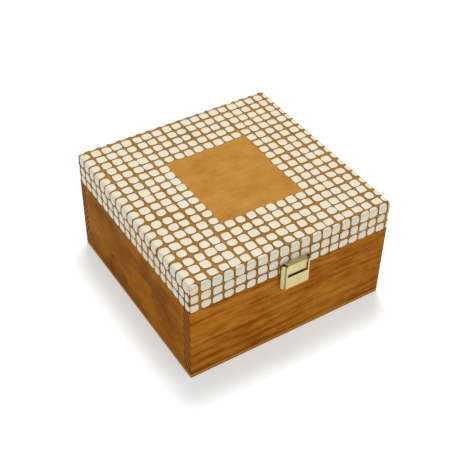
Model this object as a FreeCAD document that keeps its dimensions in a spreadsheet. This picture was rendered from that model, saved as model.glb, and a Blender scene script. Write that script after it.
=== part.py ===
"""Square wooden keepsake box: butt-jointed boards, a rounded lid on two brass hinges, a brass snap clasp.

Millimetres. The origin is the centre of the underside, the front is -Y and +Z is up.
"""
import FreeCAD, Part
import math
import os
import Sketcher

SIZES = {
    # the wooden box
    "box_width": 160,
    "box_depth": 160,
    "box_height": 85.7,
    "seam_height": 62.7,
    "seam_gap": 0.3,
    "board_thickness": 9,
    "bottom_thickness": 3,
    "top_thickness": 6,
    "base_edge_radius": 0.8,
    "lid_corner_radius": 1,
    "lid_top_radius": 2,
    # the butt hinges on the rear faces
    "hinge_offset": 48,
    "leaf_width": 24,
    "leaf_height": 11,
    "leaf_thickness": 0.8,
    "knuckle_radius": 1.6,
    "knuckle_standoff": 2,
    "middle_knuckle": 8,
    "knuckle_gap": 0.3,
    "hinge_pin_radius": 0.75,
    "pin_clearance": 0.05,
    "screw_spacing": 15,
    "screw_drop": 6.4,
    "screw_hole_radius": 1.05,
    "screw_shank_radius": 0.9,
    "screw_shank_length": 6.5,
    "screw_head_radius": 1.7,
    "screw_head_thickness": 0.6,
    "screw_slot_width": 0.45,
    # the clasp: "out" is the distance forward of the box front, "rise" the height over the seam
    "clasp_sheet": 0.7,
    "tongue_out": 3.8,
    "tongue_half_width": 7.7,
    "tongue_foot_rise": 0.1,
    "crease_rise": 8.8,
    "shelf_back_rise": 9.6,
    "shelf_half_width": 9.2,
    "flare_out": 3.3,
    "bracket_foot_rise": 1.6,
    "ear_inner": 5.9,
    "ear_out": 3.4,
    "ear_drop": 1.4,
    "flap_out": 5,
    "flap_sheet": 0.5,
    "flap_face_half_width": 9.4,
    "flap_half_width": 11.8,
    "bevel_depth": 2.8,
    "bevel_edge_radius": 0.7,
    "flap_drop": 10.9,
    "window_half_width": 8.2,
    "window_sill_drop": 0.9,
    "window_corner_radius": 0.4,
    "pivot_out": 2.25,
    "pivot_rise": 7.5,
    "curl_rise": 2.25,
    "lobe_rear_out": 0.5,
    "lobe_shoulder_rise": 0.3,
    "lobe_foot_rise": 5,
    "cheek_top_rise": 1,
    "cheek_out": 1.5,
    "clasp_pin_radius": 0.65,
    "clasp_pin_half_length": 11.7,
    "strike_half_width": 7.6,
    "strike_head_drop": 0.6,
    "strike_foot_drop": 8.6,
    "nose_top_drop": 4.3,
    "nose_out": 2.6,
    "catch_clearance": 0.15,
    "catch_top_drop": 5.4,
    "catch_half_width": 5,
    "nail_half_spacing": 3.6,
    "nail_head_radius": 0.9,
    "nail_head_thickness": 0.35,
    "nail_shank_radius": 0.5,
    "nail_shank_length": 5,
    "bracket_nail_rise": 3,
    "bracket_nail_pitch": 4,
    "strike_nail_drop": 2.5,
    "strike_nail_pitch": 4.7,
    # how far cutting sketches reach past the metal they cut
    "cut_margin": 1,
}

FRONT = "-Sizes.box_depth / 2"
REAR = "Sizes.box_depth / 2"
SEAM = "Sizes.seam_height"

doc = FreeCAD.newDocument("KeepsakeBox")
sheet = doc.addObject("Spreadsheet::Sheet", "Sizes")
for row, (alias, value) in enumerate(SIZES.items(), start=1):
    sheet.set(f"A{row}", alias)
    sheet.set(f"B{row}", str(value))
    sheet.setAlias(f"B{row}", alias)
doc.recompute()

node_objects = []


def amount(expression):
    """The value of a sheet expression, in millimetres."""
    result = sheet.evalExpression(expression)
    return float(getattr(result, "Value", result))


def outward(distance):
    """The Y expression of a place that is the given distance in front of the box."""
    return f"{FRONT} - ({distance})"


def above_seam(distance):
    """The Z expression of a place that is the given distance over the seam."""
    return f"{SEAM} + ({distance})"


# ---------------------------------------------------------------- sketch and feature helpers
def new_body(name):
    body = doc.addObject("PartDesign::Body", name)
    body.Label = name
    node_objects.append(body)
    return body


def new_sketch(body, role, name):
    """An empty sketch on one of the body's own origin planes."""
    plane = next(item for item in body.Origin.OriginFeatures if item.Role == role)
    sketch = body.newObject("Sketcher::SketchObject", name)
    sketch.AttachmentSupport = [(plane, "")]
    sketch.MapMode = "FlatFace"
    return sketch


def bind_length(sketch, expression, kind, *places):
    """Adds one dimension to the sketch and ties it to a sheet expression."""
    index = sketch.addConstraint(Sketcher.Constraint(kind, *places, amount(expression)))
    sketch.setExpression(f"Constraints[{index}]", expression)


def bind_point(sketch, geometry, place, corner):
    """Ties one point of the sketch to a pair of sheet expressions."""
    for kind, other_axis, expression in zip(("DistanceX", "DistanceY"), (-2, -1), corner):
        if abs(amount(expression)) < 1e-9:
            sketch.addConstraint(Sketcher.Constraint("PointOnObject", geometry, place, other_axis))
        else:
            bind_length(sketch, expression, kind, -1, 1, geometry, place)


def add_outline(sketch, corners, arc_after=None, arc_centre=None, arc_radius=None):
    """A closed outline through the corners. The side after corner arc_after is a counter-clockwise arc."""
    first = sketch.GeometryCount
    count = len(corners)
    values = [FreeCAD.Vector(amount(across), amount(up), 0) for across, up in corners]
    for index in range(count):
        start, end = values[index], values[(index + 1) % count]
        if index == arc_after:
            centre = FreeCAD.Vector(amount(arc_centre[0]), amount(arc_centre[1]), 0)
            circle = Part.Circle(centre, FreeCAD.Vector(0, 0, 1), amount(arc_radius))
            angles = [math.atan2(point.y - centre.y, point.x - centre.x) for point in (start, end)]
            sketch.addGeometry(Part.ArcOfCircle(circle, angles[0], angles[1]), False)
        else:
            sketch.addGeometry(Part.LineSegment(start, end), False)
    for index in range(count):
        joined = Sketcher.Constraint("Coincident", first + index, 2, first + (index + 1) % count, 1)
        sketch.addConstraint(joined)
        if arc_after is None or index not in (arc_after, arc_after + 1):
            bind_point(sketch, first + index, 1, corners[index])
    if arc_after is not None:
        arc = first + arc_after
        bind_point(sketch, arc, 3, arc_centre)
        bind_length(sketch, arc_radius, "Radius", arc)
        bind_length(sketch, corners[arc_after][1], "DistanceY", -1, 1, arc, 1)
        bind_length(sketch, corners[arc_after + 1][1], "DistanceY", -1, 1, arc, 2)


def add_circle(sketch, centre, radius):
    middle = FreeCAD.Vector(amount(centre[0]), amount(centre[1]), 0)
    index = sketch.addGeometry(Part.Circle(middle, FreeCAD.Vector(0, 0, 1), amount(radius)), False)
    bind_point(sketch, index, 3, centre)
    bind_length(sketch, radius, "Radius", index)


def pad(body, sketch, length, symmetric=False):
    feature = body.newObject("PartDesign::Pad", f"{sketch.Name}_pad")
    feature.Profile = sketch
    feature.SideType = "Symmetric" if symmetric else "One side"
    feature.setExpression("Length", length)
    doc.recompute()


def cut_through(body, sketch, length="2 * (Sizes.box_width + Sizes.box_depth)"):
    """A pocket both ways from the sketch's plane, through the whole body unless a length is given."""
    before = body.Shape.Volume
    feature = body.newObject("PartDesign::Pocket", f"{sketch.Name}_pocket")
    feature.Profile = sketch
    feature.SideType = "Symmetric"
    feature.Type = "Length"
    feature.setExpression("Length", length)
    doc.recompute()
    if body.Shape.Volume >= before - 1e-6:
        raise RuntimeError(f"{feature.Label} cuts nothing")


def fillet(body, name, radius, wanted):
    """Rounds the edges of the body's tip that the test accepts."""
    tip = body.Tip
    edges = [f"Edge{index}" for index, edge in enumerate(tip.Shape.Edges, start=1) if wanted(edge)]
    if not edges:
        raise RuntimeError(f"{name} finds no edge")
    feature = body.newObject("PartDesign::Fillet", name)
    feature.Base = (tip, edges)
    feature.setExpression("Radius", radius)
    doc.recompute()


def is_vertical(edge):
    low, high = edge.BoundBox.ZMin, edge.BoundBox.ZMax
    return high - low > 0.9 * edge.Length and isinstance(edge.Curve, Part.Line)


def is_outer_corner(edge):
    """A vertical edge at one of the box's four outer corners."""
    middle = edge.CenterOfMass
    at_side = abs(abs(middle.x) - amount("Sizes.box_width / 2")) < 1e-3
    at_end = abs(abs(middle.y) - amount("Sizes.box_depth / 2")) < 1e-3
    return is_vertical(edge) and at_side and at_end


def rectangle(left, right, low, high):
    return [(left, low), (right, low), (right, high), (left, high)]


# ---------------------------------------------------------------- wooden boards
def board(name, left, right, front, rear, foot, height, corner_radius=None):
    """One flat board, drawn in plan and padded upwards from its foot."""
    body = new_body(name)
    sketch = new_sketch(body, "XY_Plane", f"{name}_plan")
    add_outline(sketch, rectangle(left, right, front, rear))
    pad(body, sketch, height)
    if corner_radius:
        fillet(body, f"{name}_corners", corner_radius, is_outer_corner)
    body.setExpression("Placement.Base.z", foot)
    return body


def walls(prefix, suffix, foot, height, corner_radius):
    """Front and rear boards over the full width, with the side boards between them."""
    outer_left, outer_right = "-Sizes.box_width / 2", "Sizes.box_width / 2"
    inner_left = f"{outer_left} + Sizes.board_thickness"
    inner_right = f"{outer_right} - Sizes.board_thickness"
    inner_front = f"{FRONT} + Sizes.board_thickness"
    inner_rear = f"{REAR} - Sizes.board_thickness"
    board(f"{prefix}front_{suffix}", outer_left, outer_right, FRONT, inner_front, foot, height,
          corner_radius)
    board(f"{prefix}rear_{suffix}", outer_left, outer_right, inner_rear, REAR, foot, height,
          corner_radius)
    board(f"{prefix}left_{suffix}", outer_left, inner_left, inner_front, inner_rear, foot, height)
    board(f"{prefix}right_{suffix}", inner_right, outer_right, inner_front, inner_rear, foot, height)


def build_base_wood():
    board("bottom_panel", "-Sizes.box_width / 2", "Sizes.box_width / 2", FRONT, REAR, "0",
          "Sizes.bottom_thickness", "Sizes.base_edge_radius")
    wall_height = f"{SEAM} - Sizes.seam_gap / 2 - Sizes.bottom_thickness"
    walls("", "board", "Sizes.bottom_thickness", wall_height, "Sizes.base_edge_radius")


def build_lid_wood():
    foot = above_seam("Sizes.seam_gap / 2")
    panel_foot = "Sizes.box_height - Sizes.top_thickness"
    walls("lid_", "strip", foot, f"{panel_foot} - ({foot})", "Sizes.lid_corner_radius")
    panel = board("lid_top_panel", "-Sizes.box_width / 2", "Sizes.box_width / 2", FRONT, REAR,
                  panel_foot, "Sizes.top_thickness", "Sizes.lid_corner_radius")
    top = amount("Sizes.top_thickness")
    fillet(panel, "lid_top_edge", "Sizes.lid_top_radius", lambda edge: edge.BoundBox.ZMin > top - 1e-3)


# ---------------------------------------------------------------- hinges
AXIS_DEPTH = f"{REAR} + Sizes.knuckle_standoff"


def hinge_leaf(name, side, is_lid):
    """A leaf rolled round the pin. The lid's leaf has the middle knuckle, the base's the two outer ones."""
    sign = "" if is_lid else "-"
    body = new_body(name)
    plate = new_sketch(body, "YZ_Plane", f"{name}_plate")
    near, far = f"{sign}Sizes.knuckle_gap", f"{sign}Sizes.leaf_height"
    outline = rectangle(REAR, f"{REAR} + Sizes.leaf_thickness", near, far)
    add_outline(plate, outline)
    pad(body, plate, "Sizes.leaf_width", symmetric=True)

    barrel = new_sketch(body, "YZ_Plane", f"{name}_barrel")
    add_circle(barrel, (AXIS_DEPTH, "0"), "Sizes.knuckle_radius")
    pad(body, barrel, "Sizes.leaf_width", symmetric=True)

    bore = new_sketch(body, "YZ_Plane", f"{name}_bore")
    clearance = " + Sizes.pin_clearance" if is_lid else ""
    add_circle(bore, (AXIS_DEPTH, "0"), f"Sizes.hinge_pin_radius{clearance}")
    cut_through(body, bore)

    # the knuckles of the other leaf need room, so this leaf is notched round them
    notches = new_sketch(body, "XZ_Plane", f"{name}_notches")
    reach = "(Sizes.knuckle_radius + Sizes.knuckle_gap)"
    low, high = (f"-{reach}", reach)
    half_middle, half_leaf = "Sizes.middle_knuckle / 2", "(Sizes.leaf_width / 2 + Sizes.cut_margin)"
    if is_lid:
        add_outline(notches, rectangle(f"-{half_leaf}", f"-{half_middle}", low, high))
        add_outline(notches, rectangle(half_middle, half_leaf, low, high))
    else:
        half_notch = f"({half_middle} + Sizes.knuckle_gap)"
        add_outline(notches, rectangle(f"-{half_notch}", half_notch, low, high))
    cut_through(body, notches)

    holes = new_sketch(body, "XZ_Plane", f"{name}_holes")
    for direction in ("-", ""):
        centre = (f"{direction}Sizes.screw_spacing / 2", f"{sign}Sizes.screw_drop")
        add_circle(holes, centre, "Sizes.screw_hole_radius")
    cut_through(body, holes)

    body.setExpression("Placement.Base.x", f"{side} * Sizes.hinge_offset")
    body.setExpression("Placement.Base.z", SEAM)


def cross_rod(name, radius, half_length, middle):
    """A round rod along X."""
    rod = doc.addObject("Part::Cylinder", name)
    rod.Label = name
    rod.Placement.Rotation = FreeCAD.Rotation(FreeCAD.Vector(0, 1, 0), 90)
    rod.setExpression("Radius", radius)
    rod.setExpression("Height", f"2 * ({half_length})")
    rod.setExpression("Placement.Base.x", f"{middle[0]} - ({half_length})")
    rod.setExpression("Placement.Base.y", middle[1])
    rod.setExpression("Placement.Base.z", middle[2])
    node_objects.append(rod)


def driven_group(name, places, facing, sheet_thickness, prefix, slotted=False):
    """Screws or nails as separate solids. Each is driven through a sheet that lies on a face of the box.

    facing is +1 on the rear face and -1 on the front face; places are (X, Z) expressions.
    """
    face = REAR if facing > 0 else FRONT
    members = []
    for number, (across, up) in enumerate(places, start=1):
        head_foot = f"{face} + {facing} * ({sheet_thickness})"
        parts = []
        for piece, radius, length, start in (
            ("head", f"Sizes.{prefix}_head_radius", f"Sizes.{prefix}_head_thickness", head_foot),
            ("shank", f"Sizes.{prefix}_shank_radius", f"{sheet_thickness} + Sizes.{prefix}_shank_length",
             f"{face} - {facing} * Sizes.{prefix}_shank_length"),
        ):
            cylinder = doc.addObject("Part::Cylinder", f"{name}_{piece}_{number}")
            cylinder.Placement.Rotation = FreeCAD.Rotation(FreeCAD.Vector(1, 0, 0), -90 * facing)
            cylinder.setExpression("Radius", radius)
            cylinder.setExpression("Height", length)
            cylinder.setExpression("Placement.Base.x", across)
            cylinder.setExpression("Placement.Base.y", start)
            cylinder.setExpression("Placement.Base.z", up)
            parts.append(cylinder)
        member = doc.addObject("Part::Fuse", f"{name}_{number}")
        member.Base, member.Tool = parts
        if slotted:
            slot = doc.addObject("Part::Box", f"{name}_slot_{number}")
            slot.setExpression("Length", "2 * Sizes.screw_head_radius + Sizes.cut_margin")
            slot.setExpression("Width", "Sizes.screw_head_thickness")
            slot.setExpression("Height", "Sizes.screw_slot_width")
            slot.setExpression("Placement.Base.x",
                               f"{across} - Sizes.screw_head_radius - Sizes.cut_margin / 2")
            slot.setExpression("Placement.Base.y",
                               f"{head_foot} + {facing} * Sizes.screw_head_thickness / 2")
            slot.setExpression("Placement.Base.z", f"{up} - Sizes.screw_slot_width / 2")
            slotted_member = doc.addObject("Part::Cut", f"{name}_slotted_{number}")
            slotted_member.Base, slotted_member.Tool = member, slot
            member = slotted_member
        members.append(member)
    group = doc.addObject("Part::Compound", name)
    group.Label = name
    group.Links = members
    node_objects.append(group)


def build_hinges():
    for side_name, side in (("left", -1), ("right", 1)):
        hinge_leaf(f"hinge_{side_name}_base_leaf", side, is_lid=False)
        hinge_leaf(f"hinge_{side_name}_lid_leaf", side, is_lid=True)
        cross_rod(f"hinge_{side_name}_pin", "Sizes.hinge_pin_radius", "Sizes.leaf_width / 2",
                  (f"{side} * Sizes.hinge_offset", AXIS_DEPTH, SEAM))
    for name, level in (("base_hinge_screws", f"{SEAM} - Sizes.screw_drop"),
                        ("lid_hinge_screws", f"{SEAM} + Sizes.screw_drop")):
        places = [(f"{side} * Sizes.hinge_offset + {end} * Sizes.screw_spacing / 2", level)
                  for side in (-1, 1) for end in (-1, 1)]
        driven_group(name, places, 1, "Sizes.leaf_thickness", "screw", slotted=True)


# ---------------------------------------------------------------- clasp
PIVOT = (outward("Sizes.pivot_out"), above_seam("Sizes.pivot_rise"))


def build_clasp_bracket():
    """The fixed upper part: a strip folded from the lid's face over a sloping shelf down to the tongue."""
    name = "clasp_bracket"
    body = new_body(name)
    slope = "((Sizes.shelf_back_rise - Sizes.crease_rise) / Sizes.tongue_out)"
    sheet_drop = f"Sizes.clasp_sheet * sqrt(1 + {slope} ^ 2)"
    tongue_rear = "(Sizes.tongue_out - Sizes.clasp_sheet)"

    def under_shelf(out, drop):
        """The height that lies drop under the shelf's top, at a distance out from the lid."""
        return above_seam(f"Sizes.shelf_back_rise - {slope} * {out} - {drop}")

    side = new_sketch(body, "YZ_Plane", f"{name}_fold")
    add_outline(side, [
        (FRONT, above_seam("Sizes.bracket_foot_rise")),
        (FRONT, above_seam("Sizes.shelf_back_rise")),
        (outward("Sizes.tongue_out"), above_seam("Sizes.crease_rise")),
        (outward("Sizes.tongue_out"), above_seam("Sizes.tongue_foot_rise")),
        (outward(tongue_rear), above_seam("Sizes.tongue_foot_rise")),
        (outward(tongue_rear), under_shelf(tongue_rear, sheet_drop)),
        (outward("Sizes.clasp_sheet"), under_shelf("Sizes.clasp_sheet", sheet_drop)),
        (outward("Sizes.clasp_sheet"), above_seam("Sizes.bracket_foot_rise")),
    ])
    pad(body, side, "2 * Sizes.shelf_half_width", symmetric=True)

    # seen from above, the shelf flares from the tongue's width to its own at the lid
    flare = new_sketch(body, "XY_Plane", f"{name}_flare")
    for sign in ("-", ""):
        add_outline(flare, [
            (f"{sign}Sizes.shelf_half_width", outward("Sizes.clasp_sheet")),
            (f"{sign}Sizes.tongue_half_width", outward("Sizes.flare_out")),
            (f"{sign}Sizes.tongue_half_width", outward("Sizes.tongue_out + Sizes.cut_margin")),
            (f"{sign}(Sizes.shelf_half_width + Sizes.cut_margin)",
             outward("Sizes.tongue_out + Sizes.cut_margin")),
            (f"{sign}(Sizes.shelf_half_width + Sizes.cut_margin)", outward("Sizes.clasp_sheet")),
        ])
    cut_through(body, flare)

    # below the shelf the strip is no wider than the tongue, which leaves room for the flap's lobes
    waist = new_sketch(body, "XZ_Plane", f"{name}_waist")
    for sign in ("-", ""):
        add_outline(waist, rectangle(
            f"{sign}Sizes.tongue_half_width", f"{sign}(Sizes.shelf_half_width + Sizes.cut_margin)",
            SEAM, above_seam("Sizes.crease_rise - Sizes.clasp_sheet / 2")))
    cut_through(body, waist)

    # two ears under the shelf carry the pivot pin
    ear_foot = above_seam("Sizes.pivot_rise - Sizes.ear_drop")
    ears = new_sketch(body, "YZ_Plane", f"{name}_ears")
    add_outline(ears, [
        (outward("Sizes.ear_out"), ear_foot),
        (outward("Sizes.clasp_sheet / 2"), ear_foot),
        (outward("Sizes.clasp_sheet / 2"), under_shelf("Sizes.clasp_sheet / 2", "Sizes.clasp_sheet / 2")),
        (outward("Sizes.ear_out"), under_shelf("Sizes.ear_out", "Sizes.clasp_sheet / 2")),
    ])
    pad(body, ears, "2 * (Sizes.ear_inner + Sizes.clasp_sheet)", symmetric=True)
    room = new_sketch(body, "YZ_Plane", f"{name}_room")
    room_foot = f"{ear_foot} - Sizes.cut_margin"
    add_outline(room, [
        (outward(tongue_rear), room_foot),
        (outward("Sizes.clasp_sheet"), room_foot),
        (outward("Sizes.clasp_sheet"), under_shelf("Sizes.clasp_sheet", sheet_drop)),
        (outward(tongue_rear), under_shelf(tongue_rear, sheet_drop)),
    ])
    cut_through(body, room, "2 * Sizes.ear_inner")

    bore = new_sketch(body, "YZ_Plane", f"{name}_bore")
    add_circle(bore, PIVOT, "Sizes.clasp_pin_radius")
    cut_through(body, bore)


def build_clasp_flap():
    """The hinged cover: a pressed channel with bevelled sides, cut out round the tongue."""
    name = "clasp_flap"
    body = new_body(name)
    plan = new_sketch(body, "XY_Plane", f"{name}_plan")
    side_out = "Sizes.flap_out - Sizes.bevel_depth"
    inner_face = "Sizes.flap_out - Sizes.flap_sheet"
    run = "(Sizes.flap_half_width - Sizes.flap_face_half_width)"
    bevel = f"sqrt({run} ^ 2 + Sizes.bevel_depth ^ 2)"
    front_miter = f"Sizes.flap_sheet * ({bevel} - {run}) / Sizes.bevel_depth"
    side_miter = f"Sizes.flap_sheet * ({bevel} - Sizes.bevel_depth) / {run}"
    inner_half = "(Sizes.flap_half_width - Sizes.flap_sheet)"
    right = [
        ("Sizes.flap_half_width", outward("Sizes.lobe_rear_out")),
        (inner_half, outward("Sizes.lobe_rear_out")),
        (inner_half, outward(f"{side_out} - {side_miter}")),
        (f"(Sizes.flap_face_half_width - {front_miter})", outward(inner_face)),
    ]
    front_right = [
        ("Sizes.flap_face_half_width", outward("Sizes.flap_out")),
        ("Sizes.flap_half_width", outward(side_out)),
    ]
    mirrored = [(f"-({across})", up) for across, up in reversed(right)]
    front_left = [(f"-({across})", up) for across, up in reversed(front_right)]
    add_outline(plan, right + mirrored + front_left + front_right)
    plan.setExpression("AttachmentOffset.Base.z", above_seam("-Sizes.flap_drop"))
    pad(body, plan, "Sizes.flap_drop + Sizes.pivot_rise + Sizes.curl_rise")
    face_edge = amount("Sizes.flap_face_half_width")
    fillet(body, f"{name}_bevel_edges", "Sizes.bevel_edge_radius",
           lambda edge: is_vertical(edge) and abs(abs(edge.CenterOfMass.x) - face_edge) < 1e-3)

    # seen from the side: the top curls back about the pivot, and the edges stand off the wall below it
    side = new_sketch(body, "YZ_Plane", f"{name}_side")
    low = above_seam("-(Sizes.flap_drop + Sizes.cut_margin)")
    high = above_seam("Sizes.pivot_rise + Sizes.curl_rise + Sizes.cut_margin")
    behind = outward("-Sizes.cut_margin")
    ahead = outward("Sizes.flap_out + Sizes.cut_margin")
    curl = "(Sizes.flap_out - Sizes.pivot_out)"
    add_outline(side, [
        (outward(f"Sizes.pivot_out + sqrt({curl} ^ 2 - Sizes.curl_rise ^ 2)"),
         above_seam("Sizes.pivot_rise + Sizes.curl_rise")),
        (outward("Sizes.flap_out"), PIVOT[1]),
        (ahead, PIVOT[1]),
        (ahead, high),
        (behind, high),
        (behind, low),
        (outward("Sizes.cheek_out"), low),
        (outward("Sizes.cheek_out"), above_seam("Sizes.cheek_top_rise")),
        (outward("Sizes.lobe_rear_out"), above_seam("Sizes.lobe_foot_rise")),
        (outward("Sizes.lobe_rear_out"), above_seam("Sizes.pivot_rise + Sizes.lobe_shoulder_rise")),
    ], arc_after=0, arc_centre=PIVOT, arc_radius=curl)
    cut_through(body, side)

    sill = above_seam("-Sizes.window_sill_drop")
    window = new_sketch(body, "XZ_Plane", f"{name}_window")
    add_outline(window, rectangle("-Sizes.window_half_width", "Sizes.window_half_width", sill, high))
    cut_through(body, window)
    jamb = amount("Sizes.window_half_width")
    fillet(body, f"{name}_window_corners", "Sizes.window_corner_radius",
           lambda edge: abs(edge.CenterOfMass.z - amount(sill)) < 1e-3 and edge.BoundBox.XLength < 1e-3
           and abs(abs(edge.CenterOfMass.x) - jamb) < 1e-3)

    catch = new_sketch(body, "YZ_Plane", f"{name}_catch")
    add_outline(catch, rectangle(
        outward(f"{inner_face} + Sizes.flap_sheet / 2"),
        outward("Sizes.nose_out + Sizes.catch_clearance"),
        above_seam("-Sizes.catch_top_drop - Sizes.flap_sheet"),
        above_seam("-Sizes.catch_top_drop")))
    pad(body, catch, "2 * Sizes.catch_half_width", symmetric=True)

    bore = new_sketch(body, "YZ_Plane", f"{name}_bore")
    add_circle(bore, PIVOT, "Sizes.clasp_pin_radius + Sizes.pin_clearance")
    cut_through(body, bore)


def build_clasp_strike():
    """The plate on the base, with the nose that the flap's catch snaps under."""
    name = "clasp_strike"
    body = new_body(name)
    side = new_sketch(body, "YZ_Plane", f"{name}_side")
    nose_foot = above_seam("-Sizes.nose_top_drop - Sizes.clasp_sheet")
    add_outline(side, [
        (FRONT, above_seam("-Sizes.strike_foot_drop")),
        (FRONT, above_seam("-Sizes.strike_head_drop")),
        (outward("Sizes.clasp_sheet"), above_seam("-Sizes.strike_head_drop")),
        (outward("Sizes.clasp_sheet"), above_seam("-Sizes.nose_top_drop")),
        (outward("Sizes.nose_out"), above_seam("-Sizes.nose_top_drop")),
        (outward("Sizes.nose_out"), nose_foot),
        (outward("Sizes.clasp_sheet"), nose_foot),
        (outward("Sizes.clasp_sheet"), above_seam("-Sizes.strike_foot_drop")),
    ])
    pad(body, side, "2 * Sizes.strike_half_width", symmetric=True)


def build_clasp():
    build_clasp_bracket()
    build_clasp_flap()
    build_clasp_strike()
    cross_rod("clasp_pivot_pin", "Sizes.clasp_pin_radius", "Sizes.clasp_pin_half_length", ("0",) + PIVOT)
    for name, level, pitch in (
        ("clasp_bracket_nails", above_seam("Sizes.bracket_nail_rise"), "Sizes.bracket_nail_pitch"),
        ("clasp_strike_nails", above_seam("-Sizes.strike_nail_drop"), "-Sizes.strike_nail_pitch"),
    ):
        places = [(f"{side} * Sizes.nail_half_spacing", f"{level} + {step} * {pitch}")
                  for side in (-1, 1) for step in (0, 1)]
        driven_group(name, places, -1, "Sizes.clasp_sheet", "nail")


# ---------------------------------------------------------------- build, check and write
build_base_wood()
build_lid_wood()
build_hinges()
build_clasp()
doc.recompute()

for item in doc.Objects:
    if "Invalid" in item.State or "Error" in item.State:
        raise RuntimeError(f"{item.Label} did not recompute: {item.State}")
for node in node_objects:
    if node.Shape.isNull() or not node.Shape.isValid():
        raise RuntimeError(f"{node.Label} has no valid shape")

os.makedirs("parts", exist_ok=True)
for node in node_objects:
    node.Shape.exportStep(f"parts/{node.Label}.step")
    print(f"{node.Label}: {node.Shape.Volume:.2f} mm3, {len(node.Shape.Solids)} solid(s)")
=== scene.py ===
"""The wooden keepsake box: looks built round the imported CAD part. Metres, front is -Y, +Z up."""

import math
import random
from functools import partial

import bmesh
import bpy
from mathutils import Matrix, Vector


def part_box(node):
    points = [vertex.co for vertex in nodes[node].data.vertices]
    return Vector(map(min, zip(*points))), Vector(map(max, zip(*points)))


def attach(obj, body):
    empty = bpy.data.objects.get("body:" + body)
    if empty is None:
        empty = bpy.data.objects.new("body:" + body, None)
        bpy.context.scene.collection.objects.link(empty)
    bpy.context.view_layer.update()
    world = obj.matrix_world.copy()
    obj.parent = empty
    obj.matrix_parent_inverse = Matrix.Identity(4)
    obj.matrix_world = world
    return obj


MM = 0.001

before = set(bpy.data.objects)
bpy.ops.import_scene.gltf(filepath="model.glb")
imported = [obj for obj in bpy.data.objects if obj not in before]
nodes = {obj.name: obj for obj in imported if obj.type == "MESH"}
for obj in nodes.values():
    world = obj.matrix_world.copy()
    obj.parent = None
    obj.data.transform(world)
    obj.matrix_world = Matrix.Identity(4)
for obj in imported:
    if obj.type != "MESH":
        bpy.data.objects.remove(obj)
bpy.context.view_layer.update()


# ---------------------------------------------------------------- node materials
def rgba(colour):
    """A plain (red, green, blue) gets the alpha that a node wants; a socket stays as it is."""
    return (*colour, 1.0) if isinstance(colour, tuple) else colour


class Graph:
    """One procedural material, with short calls for adding and joining nodes."""

    def __init__(self, name):
        self.material = bpy.data.materials.new(name)
        self.material.use_nodes = True
        self.tree = self.material.node_tree
        self.tree.nodes.clear()
        self.shader = self.tree.nodes.new("ShaderNodeBsdfPrincipled")
        output = self.tree.nodes.new("ShaderNodeOutputMaterial")
        self.tree.links.new(self.shader.outputs[0], output.inputs["Surface"])

    def feed(self, socket, value):
        if isinstance(value, bpy.types.NodeSocket):
            self.tree.links.new(value, socket)
        else:
            socket.default_value = value

    def add(self, kind, settings=None, **inputs):
        node = self.tree.nodes.new(f"ShaderNode{kind}")
        for key, value in (settings or {}).items():
            setattr(node, key, value)
        for key, value in inputs.items():
            self.feed(node.inputs[key.replace("_", " ")], value)
        return node

    def math(self, operation, first, second=0.0, third=0.0, clamp=False):
        node = self.add("Math", {"operation": operation, "use_clamp": clamp})
        for socket, value in zip(node.inputs, (first, second, third)):
            self.feed(socket, value)
        return node.outputs[0]

    def noise(self, vector, scale=1.0, detail=2.0, roughness=0.5, distortion=0.0):
        node = self.add("TexNoise", Vector=vector, Scale=scale, Detail=detail, Roughness=roughness,
                        Distortion=distortion)
        return node.outputs["Fac"]

    def ramp(self, factor, stops, interpolation="LINEAR"):
        node = self.add("ValToRGB", Fac=factor)
        node.color_ramp.interpolation = interpolation
        elements = node.color_ramp.elements
        while len(elements) < len(stops):
            elements.new(0.5)
        for element, (position, colour) in zip(elements, stops):
            element.position = position
            element.color = rgba(colour if isinstance(colour, tuple) else (colour,) * 3)
        return node.outputs["Color"]

    def mix(self, factor, first, second, blend="MIX"):
        """Mixes two colours. Inputs 6 and 7 and output 2 are the colour ones of a Mix node."""
        node = self.add("Mix", {"data_type": "RGBA", "blend_type": blend})
        self.feed(node.inputs[0], factor)
        self.feed(node.inputs[6], rgba(first))
        self.feed(node.inputs[7], rgba(second))
        return node.outputs[2]

    def coordinates(self, kind="Object"):
        """The X, Y and Z of the object's own coordinates, or of its surface direction ("Normal")."""
        return self.add("SeparateXYZ", Vector=self.add("TexCoord").outputs[kind]).outputs

    def stretched(self, axes, scales, offset=(0.0, 0.0, 0.0)):
        """The object's own coordinates, reordered to (along, across, deep) and scaled per metre."""
        parts = self.coordinates()
        joined = self.add("CombineXYZ")
        for socket, axis, scale, shift in zip(joined.inputs, axes, scales, offset):
            self.feed(socket, self.math("MULTIPLY_ADD", parts[axis], scale, shift))
        return joined.outputs[0]

    def layer(self, axes, scales, offset=(0.0, 0.0, 0.0), detail=2.0, roughness=0.5, distortion=0.0):
        """Noise that is stretched along a direction. scales say how fine it is, per metre."""
        return self.noise(self.stretched(axes, scales, offset), 1.0, detail, roughness, distortion)

    def thin_line(self, place, distance, spread, peak=1.0):
        """Strongest where place equals distance, and fading to nothing beside it."""
        off_line = self.math("ABSOLUTE", self.math("SUBTRACT", place, distance))
        return self.math("MULTIPLY_ADD", off_line, -1 / spread, peak, clamp=True)

    def finish(self, colour, roughness, height, bump_depth, **constants):
        """Joins up the shader. constants are values that are the same all over the surface."""
        self.feed(self.shader.inputs["Base Color"], colour)
        self.feed(self.shader.inputs["Roughness"], roughness)
        for key, value in constants.items():
            self.shader.inputs[key.replace("_", " ")].default_value = value
        bump = self.add("Bump", Height=height, Distance=bump_depth, Strength=1.0)
        self.tree.links.new(bump.outputs[0], self.shader.inputs["Normal"])
        return self.material


# how much of a surface's direction lies along an axis when it counts as facing that way
FACES_THAT_WAY = 0.75
FACES_DOWN = -0.5
WOOD_GLOSS = {"Specular_IOR_Level": 0.015, "Specular_Tint": (1.0, 0.62, 0.28, 1.0)}
WOOD_BUMP = 0.05 * MM

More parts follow.
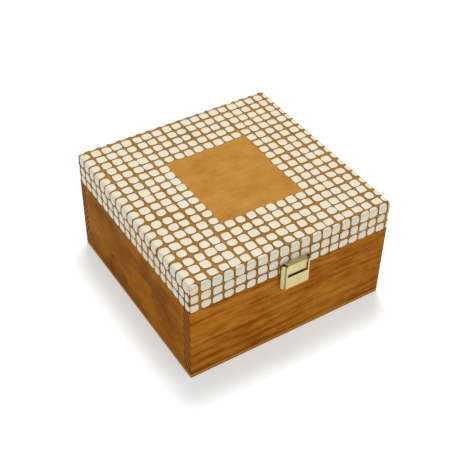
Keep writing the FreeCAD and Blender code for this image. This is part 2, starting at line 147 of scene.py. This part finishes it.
# how fine each layer of the wood is, per metre, as (along, across, deep)
DRIFT_SCALES = (7, 42, 42)
SHIVER_SCALES = (45, 260, 260)
BAND_SCALES = (24, 560, 560)
FIBRE_SCALES = (40, 1900, 1900)
PORE_SCALES = (170, 5200, 5200)
PATCH_SCALES = (44, 60, 60)
POOL_SCALES = (16, 34, 34)
SAW_MARK_SCALES = (1500, 2600, 2600)

RING_PITCH = 3.1 * MM
DRIFT_REACH = 8 * MM
SHIVER_REACH = 0.7 * MM
YEAR = [(0.0, 0.3), (0.35, 0.0), (0.65, 0.35), (0.84, 1.0), (0.94, 0.8), (1.0, 0.3)]
BASE_DARKNESS = 0.28

# the plain square of the lid, and the tint of the bare wood between the tiles round it
WINDOW_MIDDLE = (2.1 * MM, -1.25 * MM)
WINDOW_HALF = (33.4 * MM, 37.6 * MM)
UNDER_TILES = (0.74, 0.75, 0.72)

# where the dark seam line of pooled stain and painted shade lies, and where the pale rubbed line lies
SEAM_LINE = 3.7 * MM
SEAM_SPREAD = 1.1 * MM
RUBBED_END = 70.1 * MM
RUB_SPREAD = 0.9 * MM


def wood(name, axes, tint, ring_tilt, seed, rings_show=1.0, streaks_show=1.0, ring_wander=1.0, mottle=1.0,
         pool=0.14, tide=0.0, plain_window=False, seam_stain_and_shade=False, rubbed_ends=False):
    """Stained softwood. axes are (along, across, deep); the growth rings are planes that lean by
    ring_tilt degrees from the face and wander along the board, and show on every face alike.
    tint is the (light, dark, end grain, end grain line) colours. pool is how much the stain darkens
    where it has pooled and tide how pale the rim of such a pool is. plain_window keeps the lid's plain
    square lighter than the wood between the tiles. seam_stain_and_shade adds the dark line along the seam
    where the bottom panel is glued on: stain pooled in the joint, plus an even band of painted shade in the
    seam. rubbed_ends adds the pale line near each end where the stain is rubbed thin.
    """
    light, dark, end, end_line = tint
    graph = Graph(name)

    tilt = math.radians(ring_tilt)
    leaning = graph.stretched(axes, (0, math.sin(tilt), math.cos(tilt)), (0, seed * 0.01, 0))
    parts = graph.add("SeparateXYZ", Vector=leaning).outputs
    depth = graph.math("ADD", parts["Y"], parts["Z"])
    drift = graph.layer(axes, DRIFT_SCALES, (seed, seed * 2.3, seed * 0.7), roughness=0.45)
    depth = graph.math("MULTIPLY_ADD", graph.math("SUBTRACT", drift, 0.5), DRIFT_REACH * ring_wander, depth)
    shiver = graph.layer(axes, SHIVER_SCALES, (seed, 0, 0), detail=1.0)
    depth = graph.math("MULTIPLY_ADD", graph.math("SUBTRACT", shiver, 0.5), SHIVER_REACH, depth)
    turns = graph.math("MULTIPLY", depth, 1 / RING_PITCH)
    ring = graph.ramp(graph.math("FRACT", turns), YEAR, "EASE")
    strength = graph.add("TexNoise", {"noise_dimensions": "1D"}, W=turns, Scale=0.45, Detail=1.0)
    strength = graph.ramp(strength.outputs["Fac"], [(0.35, 0.1), (0.65, 1.0)])
    rings = graph.math("MULTIPLY", ring, strength)

    bands = graph.layer(axes, BAND_SCALES, (seed * 1.7, seed, 0), detail=4.0, roughness=0.7)
    fibres = graph.layer(axes, FIBRE_SCALES, (0, seed, 0), detail=3.0, roughness=0.6)
    pores = graph.ramp(graph.layer(axes, PORE_SCALES, (seed, 0, 0), detail=1.0), [(0.58, 0.0), (0.72, 1.0)])
    patches = graph.layer(axes, PATCH_SCALES, (seed * 3, 0, 0), detail=6.0, roughness=0.72)
    pooling = graph.layer(axes, POOL_SCALES, (0, seed * 2, 5.0))
    pools = graph.ramp(pooling, [(0.47, 0.0), (0.525, 1.0)], "EASE")
    rims = graph.ramp(pooling, [(0.457, 0.0), (0.467, 1.0), (0.477, 0.0)], "EASE")

    darkness = graph.math("MULTIPLY", rings, 0.5 * rings_show)
    for layer, middle, gain in ((bands, 0.5, 2.5 * streaks_show), (fibres, 0.5, 1.3 * streaks_show),
                                (patches, 0.48, 1.5 * mottle), (pools, 0.5, pool)):
        darkness = graph.math("MULTIPLY_ADD", graph.math("SUBTRACT", layer, middle), gain, darkness)
    darkness = graph.math("MULTIPLY_ADD", pores, 0.12, darkness)
    darkness = graph.math("MULTIPLY_ADD", graph.math("MULTIPLY", rims, bands), -tide, darkness)
    # the dark line along the seam: stain pooled in the joint plus an even band of painted shade in the seam
    if seam_stain_and_shade:
        line = graph.thin_line(graph.coordinates()["Z"], SEAM_LINE, SEAM_SPREAD)
        darkness = graph.math("MULTIPLY_ADD", line, graph.math("MULTIPLY", pools, 0.5), darkness)
        darkness = graph.math("MULTIPLY_ADD", line, 0.35, darkness)
    if rubbed_ends:
        off_middle = graph.math("ABSOLUTE", graph.coordinates()[axes[0]])
        line = graph.thin_line(off_middle, RUBBED_END, RUB_SPREAD)
        darkness = graph.math("MULTIPLY_ADD", graph.math("MULTIPLY", line, patches), -0.9, darkness)
    colour = graph.mix(graph.math("ADD", darkness, BASE_DARKNESS, clamp=True), light, dark)

    if plain_window:
        place = graph.coordinates()
        reaches = []
        for axis, middle, half in zip("XY", WINDOW_MIDDLE, WINDOW_HALF):
            off_middle = graph.math("ABSOLUTE", graph.math("SUBTRACT", place[axis], middle))
            reaches.append(graph.math("SUBTRACT", off_middle, half))
        outside = graph.math("GREATER_THAN", graph.math("MAXIMUM", *reaches), 0.0)
        not_below = graph.math("GREATER_THAN", graph.coordinates("Normal")["Z"], FACES_DOWN)
        under_tiles = graph.math("MULTIPLY", outside, not_below)
        colour = graph.mix(under_tiles, colour, graph.mix(1.0, colour, UNDER_TILES, "MULTIPLY"))

    along_normal = graph.math("ABSOLUTE", graph.coordinates("Normal")[axes[0]])
    cut_face = graph.math("GREATER_THAN", along_normal, FACES_THAT_WAY)
    saw_marks = graph.layer(axes, SAW_MARK_SCALES, roughness=0.7)
    end_dark = graph.math("MULTIPLY_ADD", ring, 1.8, graph.math("MULTIPLY", saw_marks, 0.8))
    end_dark = graph.math("MULTIPLY_ADD", patches, 0.6, end_dark)
    end_colour = graph.mix(graph.math("SUBTRACT", end_dark, 0.75, clamp=True), end, end_line)
    colour = graph.mix(cut_face, colour, end_colour)

    roughness = graph.math("MULTIPLY_ADD", fibres, 0.2, 0.42)
    height = graph.math("MULTIPLY_ADD", rings, 0.35, fibres)
    height = graph.math("MULTIPLY_ADD", pores, -0.5, height)
    return graph.finish(colour, roughness, height, WOOD_BUMP, **WOOD_GLOSS)


PLYWOOD_THICKNESS = 3 * MM
PLY_WAVE = 0.3 * MM


def plywood(name, light, middle, dark):
    """Three plies: the edge shows a dark band at the seam that is painted shade, a pale ply, a glue line
    and a browner ply, and the broad faces show the stained grain of the outer veneer.
    """
    graph = Graph(name)
    wave = graph.math("SUBTRACT", graph.layer("XYZ", (50, 50, 200)), 0.5)
    level = graph.math("MULTIPLY_ADD", wave, PLY_WAVE, graph.coordinates()["Z"])
    level = graph.math("MULTIPLY", level, 1 / PLYWOOD_THICKNESS)
    # the dark stop at the top of the edge is painted shade in the seam under the boards
    plies = graph.ramp(level, [(0.0, dark), (0.08, middle), (0.26, middle), (0.33, dark), (0.40, light),
                               (0.90, light), (0.96, dark), (1.0, dark)])
    streaks = graph.layer("XYZ", (90, 1400, 1400), detail=3.0, roughness=0.6)
    colour = graph.mix(graph.math("MULTIPLY", streaks, 0.5), plies, dark)
    arches = graph.layer("XYZ", (9, 75, 75), detail=3.0, distortion=0.6)
    arches = graph.math("PINGPONG", graph.math("MULTIPLY", arches, 14.0), 1.0)
    veneer = graph.math("MULTIPLY_ADD", arches, 0.35, graph.math("MULTIPLY", streaks, 0.7))
    upright_normal = graph.math("ABSOLUTE", graph.coordinates("Normal")["Z"])
    broad_face = graph.math("GREATER_THAN", upright_normal, FACES_THAT_WAY)
    colour = graph.mix(broad_face, colour, graph.mix(veneer, middle, dark))
    return graph.finish(colour, 0.55, streaks, WOOD_BUMP, **WOOD_GLOSS)


# a thin line of painted shade and painted dark reflection along a brass fold
CREASE_SPREAD = 0.42 * MM
CREASE_PEAK = 1.25
CREASE_PAINTED_SHADE = (0.12, 0.085, 0.015)
TARNISH = (0.82, 0.74, 0.6)
BRASS_BUMP = 0.004 * MM


def brass(name, colour, base_roughness, crease=None):
    """Pale polished brass with faint rolling lines, finger haze and small scratches. crease is the
    (axis, distance from the middle) of a pressed fold, along which a thin dark line of painted shade
    stands in for the fold's shade and dark reflection.
    """
    graph = Graph(name)
    haze = graph.layer("XYZ", (160, 160, 160), detail=3.0, roughness=0.6)
    rolling_lines = graph.layer("XYZ", (60, 3500, 3500))
    scratches = graph.layer("XYZ", (900, 5000, 700), (3.1, 0, 1.7))
    scratches = graph.ramp(scratches, [(0.62, 0.0), (0.7, 1.0)])
    tarnished = tuple(channel * factor for channel, factor in zip(colour, TARNISH))
    tone = graph.mix(graph.ramp(haze, [(0.45, 0.0), (0.75, 0.5)]), colour, tarnished)
    if crease:
        axis, distance = crease
        off_middle = graph.math("ABSOLUTE", graph.coordinates()[axis])
        line = graph.thin_line(off_middle, distance, CREASE_SPREAD, CREASE_PEAK)
        # painted shade: the thin dark line along the fold stands in for its shade and dark reflection
        tone = graph.mix(graph.math("MULTIPLY", line, 0.85), tone, CREASE_PAINTED_SHADE)
    roughness = graph.math("MULTIPLY_ADD", haze, 0.14, base_roughness)
    roughness = graph.math("MULTIPLY_ADD", scratches, 0.1, roughness)
    height = graph.math("MULTIPLY_ADD", scratches, -0.6, rolling_lines)
    return graph.finish(tone, roughness, height, BRASS_BUMP, Metallic=1.0)


PIT_COLOUR = (0.30, 0.22, 0.14)
ENAMEL_BUMP = 0.06 * MM
STAIN_BUMP = 0.03 * MM


def enamel(name, colour, shade):
    """Hardened ivory paste: slightly uneven in tone and surface, with a few tiny pits."""
    graph = Graph(name)
    place = graph.add("TexCoord").outputs["Object"]
    cloud = graph.noise(place, 130.0, 3.0, 0.55)
    grain = graph.noise(place, 2600.0, 2.0, 0.6)
    pits = graph.ramp(graph.noise(place, 900.0, 1.0), [(0.70, 0.0), (0.76, 1.0)])
    blend = graph.math("MULTIPLY_ADD", graph.math("SUBTRACT", grain, 0.5), 0.35, cloud)
    tone = graph.mix(graph.math("SUBTRACT", blend, 0.15, clamp=True), colour, shade)
    tone = graph.mix(graph.math("MULTIPLY", pits, 0.35), tone, PIT_COLOUR)
    roughness = graph.math("MULTIPLY_ADD", grain, 0.2, 0.28)
    height = graph.math("MULTIPLY_ADD", cloud, 1.6, graph.math("MULTIPLY", grain, 0.35))
    height = graph.math("MULTIPLY_ADD", pits, -0.5, height)
    return graph.finish(tone, roughness, height, ENAMEL_BUMP, Specular_IOR_Level=0.45)


def stain_line(name, colour, shade):
    """The dark stain that pools round each tile."""
    graph = Graph(name)
    streaks = graph.layer("XYZ", (90, 1500, 1500), detail=3.0, roughness=0.6)
    tone = graph.mix(streaks, colour, shade)
    return graph.finish(tone, 0.45, streaks, STAIN_BUMP, Specular_IOR_Level=0.05)


# ---------------------------------------------------------------- the lid's mosaic
LID_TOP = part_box("lid_top_panel")[1].z
LID_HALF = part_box("lid_top_panel")[1].x
EDGE_RADIUS = 2.0 * MM
FLAT = LID_HALF - EDGE_RADIUS
QUARTER_TURN = EDGE_RADIUS * math.pi / 2

TILE_HEIGHT = 0.38 * MM
OUTLINE_WIDTH = 0.4 * MM
OUTLINE_HEIGHT = 0.06 * MM
SUNK = 0.06 * MM

# how the tiles of one kind differ from each other
SQUARENESS = (2.7, 5.0)
CORNER_NUDGE = 0.42 * MM
SWELL = (0.92, 1.08)
SIDE_JITTER = 0.16 * MM
BAND_JITTER = 0.1 * MM

# the tiles' grid on the unrolled top; the two end tiles of a line start at the cuts and fold down
TILE_SIZE = Vector((6.85 * MM, 6.7 * MM))
COLUMN_COUNT = 18
COLUMN_PITCH = 8.22 * MM
FIRST_COLUMN = -68.9 * MM
COLUMN_CUTS = (-73.65 * MM, 75.6 * MM)
ROW_COUNT = 19
ROW_PITCH = 8.2 * MM
FIRST_ROW = -75.0 * MM
ROW_CUTS = (-78.5 * MM, 77.2 * MM)
FRONT_ROW_TRIM = 0.7 * MM
FOLDED_DEPTH = 7.1 * MM
PLAIN_COLUMNS = range(6, 14)
PLAIN_ROWS = range(6, 15)

# the two rows of tiles round the lid's sides, as depths under the top, and where a row ends
LOWER_BANDS = ((8.1 * MM, 15.1 * MM), (16.3 * MM, 22.6 * MM))
END_GAP = 1.3 * MM
FRONT_END = FLAT + 0.86 * QUARTER_TURN
SIDE_END = FLAT + 0.2 * QUARTER_TURN

# how far a line of tiles creeps sideways along its way, as (most, turn)
TOP_BOW = (1.2 * MM, math.pi)
FRONT_BOW = (3.3 * MM, 0.85 * math.pi)
SIDE_BOW = (4.0 * MM, 0.8 * math.pi)

# the part of the clasp's bracket that no tile lies behind
CLASP_COVER_WIDTH = 0.75
CLASP_COVER_RISE = 6 * MM

FOLDED_STEPS = 44
FLAT_STEPS = 26
FOLDED_SHARES = [0.12, 0.25, 0.38, 0.5, 0.62, 0.74, 0.84, 0.92]
SHOULDER = 0.74


def over_the_top(across, along, height):
    """A point of the top's unrolled surface, which folds down over the edges and corners."""
    over = Vector((max(abs(across) - FLAT, 0.0), max(abs(along) - FLAT, 0.0)))
    corner = Vector((max(-FLAT, min(FLAT, across)), max(-FLAT, min(FLAT, along))))
    reach = max(over)
    if reach <= 0:
        return Vector((across, along, LID_TOP + height))
    if over.x > 0 and over.y > 0:
        part = math.pi / 4 * min(over) / reach
        turn = part if over.x >= over.y else math.pi / 2 - part
    else:
        turn = 0.0 if over.x > 0 else math.pi / 2
    outward = Vector((math.copysign(math.cos(turn), across), math.copysign(math.sin(turn), along)))
    bend = min(reach / EDGE_RADIUS, math.pi / 2)
    beyond = max(reach - QUARTER_TURN, 0.0)
    radius = EDGE_RADIUS + height
    plan = corner + outward * radius * math.sin(bend)
    return Vector((plan.x, plan.y, LID_TOP - EDGE_RADIUS + radius * math.cos(bend) - beyond))


def round_the_side(face, along, depth, height):
    """A point of one upright face, which folds round the upright corners. Face 0 is the front."""
    over = max(abs(along) - FLAT, 0.0)
    bend = min(over / EDGE_RADIUS, math.pi / 2)
    beyond = max(over - QUARTER_TURN, 0.0)
    radius = EDGE_RADIUS + height
    straight = max(-FLAT, min(FLAT, along))
    x = straight + math.copysign(radius * math.sin(bend), along)
    y = -FLAT - radius * math.cos(bend) + beyond
    return Matrix.Rotation(face * math.pi / 2, 3, "Z") @ Vector((x, y, LID_TOP - depth))


class Tile:
    """One hand-made tile: a rounded four-cornered outline in unrolled coordinates."""

    def __init__(self, across, along, place, chance, folded):
        (left, right), (near, far) = across, along
        self.place = place
        self.middle = Vector(((left + right) / 2, (near + far) / 2))
        self.half = Vector(((right - left) / 2, (far - near) / 2))
        self.squareness = chance.uniform(*SQUARENESS)
        self.nudges = [Vector((chance.uniform(-1, 1), chance.uniform(-1, 1))) * CORNER_NUDGE
                       for _ in range(4)]
        self.swell = chance.uniform(*SWELL)
        self.folded = folded

    def outline(self, turn):
        """The point of the edge in one direction, as seen from the tile's middle."""
        cosine, sine = math.cos(turn), math.sin(turn)
        length = (abs(cosine) ** self.squareness + abs(sine) ** self.squareness) ** (-1 / self.squareness)
        across, up = length * cosine, length * sine
        nudge = Vector((0.0, 0.0))
        for (side, level), corner in zip(((-1, -1), (1, -1), (1, 1), (-1, 1)), self.nudges):
            nudge += corner * (1 + side * across) * (1 + level * up) / 4
        return Vector((across * self.half.x, up * self.half.y)) + nudge

    def build(self, mesh, height, spread, profile):
        """Adds the tile to the mesh as a closed pad that is wider than the tile by spread. profile
        lists (share of the way out, share of the height). A folded tile has a folded underside too.
        """
        steps = FOLDED_STEPS if self.folded else FLAT_STEPS
        edge = [self.outline(2 * math.pi * step / steps) for step in range(steps)]
        edge = [point + point.normalized() * spread for point in edge]

        def vertex(spot, level):
            return mesh.verts.new(self.place(spot.x, spot.y, level))

        def ring(share, level):
            return [vertex(self.middle + point * share, level) for point in edge]

        rings = [ring(share, height * self.swell * level) for share, level in profile]
        rings.append(ring(1.0, -SUNK))
        if self.folded:
            rings += [ring(share, -SUNK) for share, _ in reversed(profile[:-1])]
        top = vertex(self.middle, height * self.swell * profile[0][1])
        bottom = vertex(self.middle, -SUNK)
        for index in range(steps):
            after = (index + 1) % steps
            mesh.faces.new((top, rings[0][index], rings[0][after]))
            for first, second in zip(rings, rings[1:]):
                mesh.faces.new((first[index], second[index], second[after], first[after]))
            mesh.faces.new((bottom, rings[-1][after], rings[-1][index]))


def cushion_profile(folded):
    """Nearly flat on top, rounding over to the edge."""
    shares = FOLDED_SHARES + [0.97, 1.0] if folded else [0.45, 0.78, 0.9, 0.97, 1.0]
    return [(share, 1.0 - 0.5 * max(0.0, (share - SHOULDER) / (1 - SHOULDER)) ** 2.4) for share in shares]


def flat_profile(folded):
    shares = FOLDED_SHARES + [1.0] if folded else [0.6, 1.0]
    return [(share, 1.0) for share in shares]


def spans(first, pitch, count, size, cuts):
    """The (start, end) of each tile in a line of them. The two end tiles fold over the lid's edges."""
    outer = FLAT + QUARTER_TURN + FOLDED_DEPTH - EDGE_RADIUS
    centres = [first + pitch * number for number in range(count)]
    inner = [(centre - size / 2, centre + size / 2) for centre in centres]
    return [(-outer, cuts[0])] + inner + [(cuts[1], outer)]


COLUMNS = spans(FIRST_COLUMN, COLUMN_PITCH, COLUMN_COUNT, TILE_SIZE.x, COLUMN_CUTS)
ROWS = spans(FIRST_ROW, ROW_PITCH, ROW_COUNT, TILE_SIZE.y, ROW_CUTS)
ROWS[1] = (ROWS[1][0] + FRONT_ROW_TRIM, ROWS[1][1])
LAST_COLUMN = len(COLUMNS) - 1
LAST_ROW = len(ROWS) - 1


def jittered(span, chance, amount=SIDE_JITTER):
    return span[0] + chance.uniform(-amount, amount), span[1] + chance.uniform(-amount, amount)


def moved(span, distance):
    return span[0] + distance, span[1] + distance


def mirrored(line):
    """The same line of tiles seen from its other end."""
    return [(-end, -start) for start, end in reversed(line)]


def bowed(line, bow):
    """The line of tiles after it has crept sideways along its way, as hand-laid ones do."""
    most, turn = bow
    return [tuple(end + most * math.sin(turn * (end + LID_HALF) / (2 * LID_HALF)) for end in span)
            for span in line]


def stray(line_number, along, seeds):
    """How far one line of tiles strays from straight at a place along it."""
    slow = math.sin(along / (26 * MM) + 0.35 * line_number)
    own = math.sin(along / (17 * MM) + seeds[line_number])
    return (0.32 * slow + 0.26 * own) * MM


def covered(face, along, depths):
    """Whether most of a side tile lies behind a metal fitting of the lid."""
    x, z = sum(along) / 2, LID_TOP - sum(depths) / 2
    if face == 0:
        low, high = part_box("clasp_bracket")
        return abs(x) < high.x * CLASP_COVER_WIDTH and z < low.z + CLASP_COVER_RISE
    if face == 2:
        for node in ("hinge_left_lid_leaf", "hinge_right_lid_leaf"):
            low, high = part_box(node)
            if low.x < -x < high.x and z < high.z:
                return True
    return False


def lay_the_top(chance):
    """The tiles of the top, with the outermost ones folded over its edges."""
    seeds = [chance.uniform(0, 2 * math.pi) for _ in range(len(COLUMNS) + len(ROWS))]
    column_seeds, row_seeds = seeds[:len(COLUMNS)], seeds[len(COLUMNS):]
    tiles = []
    for row, along in enumerate(ROWS):
        columns = COLUMNS[:1] + bowed(COLUMNS[1:-1], FRONT_BOW if row == 0 else TOP_BOW)
        columns.append((max(COLUMNS[-1][0], columns[-1][1] + END_GAP), COLUMNS[-1][1]))
        for column, across in enumerate(columns):
            if column in PLAIN_COLUMNS and row in PLAIN_ROWS:
                continue
            aside = ahead = 0.0
            if 0 < column < LAST_COLUMN:
                aside = stray(column, sum(along) / 2, column_seeds)
            if 0 < row < LAST_ROW:
                ahead = stray(row, sum(across) / 2, row_seeds)
            tile_across = moved(jittered(across, chance), aside)
            tile_along = moved(jittered(along, chance), ahead)
            folded = column in (0, LAST_COLUMN) or row in (0, 1, LAST_ROW - 1, LAST_ROW)
            tiles.append(Tile(tile_across, tile_along, over_the_top, chance, folded))
    return tiles


def lay_the_sides(chance):
    """The two rows of tiles that run round the lid's sides."""
    front = [(-FRONT_END, COLUMNS[0][1])] + bowed(COLUMNS[1:-1], FRONT_BOW)
    front.append((front[-1][1] + END_GAP, FRONT_END))
    side = bowed(mirrored(ROWS[1:-1]), SIDE_BOW)
    side.insert(0, (-SIDE_END, side[0][0] - END_GAP))
    side[-1] = (side[-1][0], min(side[-1][1], SIDE_END))
    tiles = []
    for face, line in enumerate((front, mirrored(side), mirrored(front), side)):
        place = partial(round_the_side, face)
        for band in LOWER_BANDS:
            for span in line:
                along = jittered(span, chance)
                if covered(face, along, band):
                    continue
                depths = jittered(band, chance, BAND_JITTER)
                folded = max(abs(span[0]), abs(span[1])) > FLAT
                tiles.append(Tile(along, depths, place, chance, folded))
    return tiles


def mosaic_piece(name, tiles, height, spread, profile, material):
    """All the tiles, or all their outlines, as one piece that rides on the lid."""
    mesh = bmesh.new()
    for tile in tiles:
        tile.build(mesh, height, spread, profile(tile.folded))
    bmesh.ops.recalc_face_normals(mesh, faces=mesh.faces)
    data = bpy.data.meshes.new(name)
    mesh.to_mesh(data)
    mesh.free()
    for polygon in data.polygons:
        polygon.use_smooth = True
    data.set_sharp_from_angle(angle=math.radians(50))
    data.materials.append(material)
    piece = bpy.data.objects.new(name, data)
    bpy.context.scene.collection.objects.link(piece)
    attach(piece, "lid")


# ---------------------------------------------------------------- dressing the frame
def dress(names, material):
    for name in names:
        data = nodes[name].data
        data.materials.clear()
        data.materials.append(material)


END_COLOURS = ((0.40, 0.132, 0.008), (0.085, 0.022, 0.001))
BASE_TINT = ((0.52, 0.192, 0.018), (0.25, 0.066, 0.001)) + END_COLOURS
SIDE_TINT = ((0.385, 0.130, 0.002), (0.20, 0.054, 0.001)) + END_COLOURS
LID_TINT = ((0.50, 0.210, 0.024), (0.28, 0.095, 0.006)) + END_COLOURS
TOP_TINT = ((0.56, 0.272, 0.056), (0.35, 0.143, 0.018)) + END_COLOURS
PLY_COLOURS = ((0.72, 0.30, 0.04), (0.46, 0.17, 0.014), (0.16, 0.045, 0.003))

# which axes are along, across and deep in a board
FRONT_TO_BACK = "YZX"
SIDE_TO_SIDE = "XZY"
LYING_FLAT = "XYZ"

front_pine = wood("front_pine", SIDE_TO_SIDE, BASE_TINT, -24, seed=1.3, streaks_show=1.2, mottle=1.7,
                  pool=0.22, seam_stain_and_shade=True)
rear_pine = wood("rear_pine", SIDE_TO_SIDE, BASE_TINT, 30, seed=5.1, seam_stain_and_shade=True)
left_pine = wood("left_pine", FRONT_TO_BACK, SIDE_TINT, 7, seed=2.2, rings_show=0.35, streaks_show=0.4,
                 ring_wander=1.4, mottle=2.2, pool=0.36, tide=1.2, seam_stain_and_shade=True, rubbed_ends=True)
right_pine = wood("right_pine", FRONT_TO_BACK, SIDE_TINT, 9, seed=8.4, rings_show=0.6, streaks_show=0.7,
                  ring_wander=1.3, tide=0.4, seam_stain_and_shade=True, rubbed_ends=True)
lid_end_pine = wood("lid_end_pine", SIDE_TO_SIDE, LID_TINT, 24, seed=3.7)
lid_side_pine = wood("lid_side_pine", FRONT_TO_BACK, LID_TINT, 10, seed=6.1)
lid_top_pine = wood("lid_top_pine", LYING_FLAT, TOP_TINT, 9, seed=4.4, rings_show=0.12, streaks_show=0.26,
                    mottle=1.3, pool=0.0, plain_window=True)

dress(["front_board"], front_pine)
dress(["rear_board"], rear_pine)
dress(["left_board"], left_pine)
dress(["right_board"], right_pine)
dress(["lid_front_strip", "lid_rear_strip"], lid_end_pine)
dress(["lid_left_strip", "lid_right_strip"], lid_side_pine)
dress(["lid_top_panel"], lid_top_pine)
dress(["bottom_panel"], plywood("bottom_plywood", *PLY_COLOURS))

PALE_BRASS = (0.56, 0.475, 0.225)
PALE_ROUGHNESS = 0.13
HINGES_AND_PINS = [
    "clasp_pivot_pin", "hinge_left_pin", "hinge_right_pin",
    "hinge_left_base_leaf", "hinge_right_base_leaf", "hinge_left_lid_leaf", "hinge_right_lid_leaf",
]
FASTENERS = ["base_hinge_screws", "lid_hinge_screws", "clasp_bracket_nails", "clasp_strike_nails"]
dress(HINGES_AND_PINS, brass("pale_brass", PALE_BRASS, PALE_ROUGHNESS))
# the flap's bevel fold and the bracket's shelf fold each get a thin line of painted shade
dress(["clasp_flap"], brass("flap_brass", PALE_BRASS, PALE_ROUGHNESS, crease=("X", 9.75 * MM)))
dress(["clasp_bracket"], brass("bracket_brass", (0.67, 0.58, 0.29), 0.4, crease=("Z", 71.35 * MM)))
# painted shade: the strike's brass is given a dark colour so the inside of the clasp, seen through the
# flap's window, reads as deep shade
dress(["clasp_strike"], brass("shade_darkened_brass", (0.30, 0.22, 0.09), 0.42))
dress(FASTENERS, brass("fastener_brass", (0.72, 0.56, 0.27), 0.28))

ivory_enamel = enamel("ivory_enamel", (0.83, 0.745, 0.575), (0.72, 0.635, 0.465))
pooled_stain = stain_line("pooled_stain", (0.11, 0.038, 0.003), (0.22, 0.085, 0.010))
tile_chance = random.Random(20)
tiles = lay_the_top(tile_chance) + lay_the_sides(tile_chance)
mosaic_piece("mosaic_tiles", tiles, TILE_HEIGHT, 0.0, cushion_profile, ivory_enamel)
mosaic_piece("mosaic_outlines", tiles, OUTLINE_HEIGHT, OUTLINE_WIDTH, flat_profile, pooled_stain)


# ---------------------------------------------------------------- floor, light and camera
FLOOR_REACH = 6.0
FLOOR_DROP = 0.05 * MM
FLOOR_GLOW = 0.42
SKY_COLOUR = (0.97, 0.99, 1.0, 1.0)
SKY_STRENGTH = 0.42

CAMERA_AZIMUTH = -33.09
CAMERA_ELEVATION = 41.68
CAMERA_ROLL = 1.27
CAMERA_DISTANCE = 717.55 * MM
CAMERA_LENS = 73.6
AIM_RIGHT = 1.35 * MM
AIM_UP = 26.85 * MM


def direction(azimuth, elevation):
    """A unit vector away from the box, from degrees. Azimuth 0 is in front, 90 on the right."""
    turn, rise = math.radians(azimuth), math.radians(elevation)
    return Vector((math.sin(turn) * math.cos(rise), -math.cos(turn) * math.cos(rise), math.sin(rise)))


def build_floor():
    graph = Graph("pale_paper")
    grain = graph.noise(graph.add("TexCoord").outputs["Object"], 900.0, 2.0)
    tone = graph.mix(grain, (0.80, 0.83, 0.83), (0.77, 0.80, 0.80))
    graph.finish(tone, 0.9, grain, 0.01 * MM, Emission_Color=(0.98, 1.0, 1.0, 1.0),
                 Emission_Strength=FLOOR_GLOW)
    data = bpy.data.meshes.new("floor")
    mesh = bmesh.new()
    bmesh.ops.create_grid(mesh, x_segments=1, y_segments=1, size=FLOOR_REACH)
    mesh.to_mesh(data)
    mesh.free()
    data.materials.append(graph.material)
    floor = bpy.data.objects.new("floor", data)
    floor.location.z = -FLOOR_DROP
    bpy.context.scene.collection.objects.link(floor)


def area_light(name, azimuth, elevation, distance, size, power):
    """A square soft box aimed at the box's middle."""
    light = bpy.data.lights.new(name, "AREA")
    light.shape = "SQUARE"
    light.size = size
    light.energy = power
    lamp = bpy.data.objects.new(name, light)
    outward = direction(azimuth, elevation)
    lamp.location = outward * distance + Vector((0, 0, LID_TOP / 2))
    lamp.rotation_mode = "QUATERNION"
    lamp.rotation_quaternion = outward.to_track_quat("Z", "Y")
    bpy.context.scene.collection.objects.link(lamp)


def build_light():
    world = bpy.data.worlds.new("studio")
    world.use_nodes = True
    background = world.node_tree.nodes["Background"]
    background.inputs["Color"].default_value = SKY_COLOUR
    background.inputs["Strength"].default_value = SKY_STRENGTH
    bpy.context.scene.world = world
    area_light("key", azimuth=147, elevation=74, distance=1.6, size=0.45, power=17)
    area_light("fill", azimuth=26, elevation=32, distance=1.8, size=1.2, power=2.4)


def build_camera():
    back = direction(CAMERA_AZIMUTH, CAMERA_ELEVATION)
    level_right = Vector((0, 0, 1)).cross(back).normalized()
    level_up = back.cross(level_right)
    roll = math.radians(CAMERA_ROLL)
    right = level_right * math.cos(roll) + level_up * math.sin(roll)
    up = level_up * math.cos(roll) - level_right * math.sin(roll)
    place = right * AIM_RIGHT + up * AIM_UP + back * CAMERA_DISTANCE
    camera = bpy.data.objects.new("camera", bpy.data.cameras.new("camera"))
    camera.data.lens = CAMERA_LENS
    camera.data.sensor_width = 36.0
    camera.data.clip_start = 0.01
    camera.matrix_world = Matrix.Translation(place) @ Matrix((right, up, back)).transposed().to_4x4()
    bpy.context.scene.collection.objects.link(camera)
    bpy.context.scene.camera = camera


build_floor()
build_light()
build_camera()
bpy.context.scene.view_settings.view_transform = "Standard"
